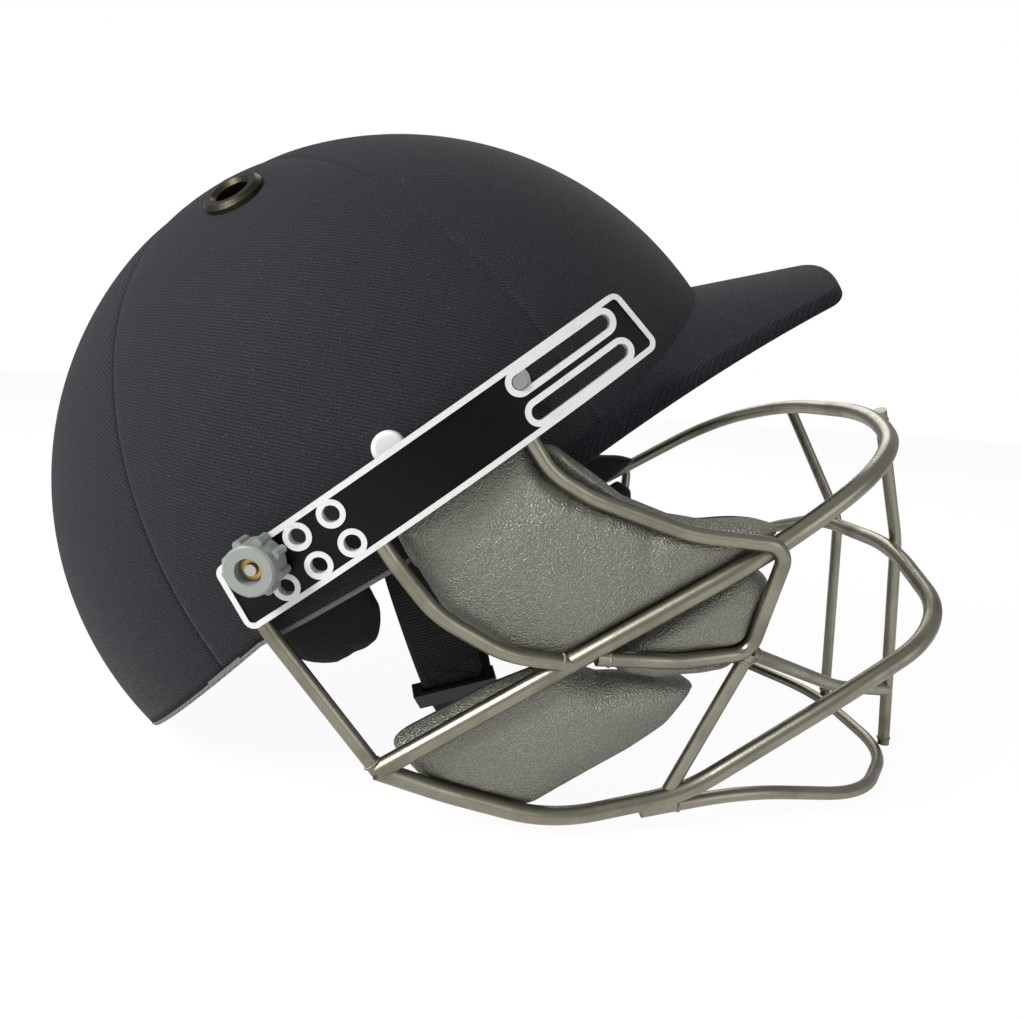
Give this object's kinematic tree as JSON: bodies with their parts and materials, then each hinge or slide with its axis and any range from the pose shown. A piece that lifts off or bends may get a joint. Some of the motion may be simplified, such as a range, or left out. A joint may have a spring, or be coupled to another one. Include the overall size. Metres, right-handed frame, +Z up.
{
  "type": "cricket helmet",
  "caption": "Cricket helmet: cloth covered shell with a peak and vents, and a wire face guard with cheek pads on side plates that slide along the shell.",
  "frame": {"origin": "on the table plane, under the middle of the bounding box, with the helmet resting nose up on its nape edge and its chin bar", "axes": "+X to the front of the resting helmet, +Y to the wearer's left, +Z up; the helmet is nose up by about 36 degrees"},
  "size_m": [0.3442, 0.2614, 0.2339],
  "materials": {
    "cover_cloth": "dark navy twill",
    "shell_plastic": "matt black",
    "liner_foam": "dark foam",
    "trim": "light grey edge",
    "lining": "black lining cloth",
    "webbing": "black ribbed webbing",
    "slider_plastic": "matt black",
    "eyelet_metal": "dark antique metal",
    "white_cap": "white",
    "screw_steel": "bright steel",
    "spacer_plastic": "grey",
    "plate_white": "off-white raised edges",
    "plate_black": "gloss black",
    "knob_plastic": "pale grey",
    "insert_brass": "brass",
    "pad_leather": "grained metallic grey",
    "guard_metal": "satin nickel grey"
  },
  "bodies": {
    "helmet": {"cover_panel_front_left": "cover_cloth", "cover_panel_left": "cover_cloth", "cover_panel_rear_left": "cover_cloth", "cover_panel_rear_right": "cover_cloth", "cover_panel_right": "cover_cloth", "cover_panel_front_right": "cover_cloth", "outer_shell": "shell_plastic", "foam_liner": "liner_foam", "rim_trim": "trim", "peak": "cover_cloth", "brow_pad": "lining", "nape_pad": "lining", "crown_pad": "lining", "chin_strap_long": "webbing", "chin_strap_short": "webbing", "strap_slider": "slider_plastic", "eyelet_right": "eyelet_metal", "ear_flap_right": "lining", "strap_rivet_right": "white_cap", "front_screw_right": "screw_steel", "screw_spacer_right": "spacer_plastic", "eyelet_left": "eyelet_metal", "ear_flap_left": "lining", "strap_rivet_left": "white_cap", "front_screw_left": "screw_steel", "screw_spacer_left": "spacer_plastic"},
    "face_guard": {"top_bar": "guard_metal", "second_bar": "guard_metal", "chin_bar": "guard_metal", "mid_bar": "guard_metal", "upright_right": "guard_metal", "rear_post_right": "guard_metal", "rear_wire_right": "guard_metal", "front_wire_right": "guard_metal", "pad_wire_right": "guard_metal", "strut_right": "guard_metal", "cheek_pad_right": "pad_leather", "front_pad_right": "pad_leather", "jaw_pad_right": "pad_leather", "side_plate_right": "plate_white", "plate_inlay_right": "plate_black", "knob_stud_right": "screw_steel", "upright_left": "guard_metal", "rear_post_left": "guard_metal", "rear_wire_left": "guard_metal", "front_wire_left": "guard_metal", "pad_wire_left": "guard_metal", "strut_left": "guard_metal", "cheek_pad_left": "pad_leather", "front_pad_left": "pad_leather", "jaw_pad_left": "pad_leather", "side_plate_left": "plate_white", "plate_inlay_left": "plate_black", "knob_stud_left": "screw_steel"},
    "right_knob": {"knob_right": "knob_plastic", "knob_insert_right": "insert_brass"},
    "left_knob": {"knob_left": "knob_plastic", "knob_insert_left": "insert_brass"}
  },
  "joints": [
    {"name": "guard_slide", "type": "slide", "parent": "helmet", "child": "face_guard", "axis": [-0.7818, 0, -0.6235], "range_m": [0, 0.0224]},
    {"name": "right_knob_spin", "type": "hinge", "parent": "face_guard", "child": "right_knob", "pos_m": [-0.0715, -0.12059, 0.09198], "axis": [-0.1612, -0.9804, -0.1132], "continuous": true},
    {"name": "left_knob_spin", "type": "hinge", "parent": "face_guard", "child": "left_knob", "pos_m": [-0.0715, 0.12059, 0.09198], "axis": [-0.1612, 0.9804, -0.1132], "continuous": true}
  ]
}
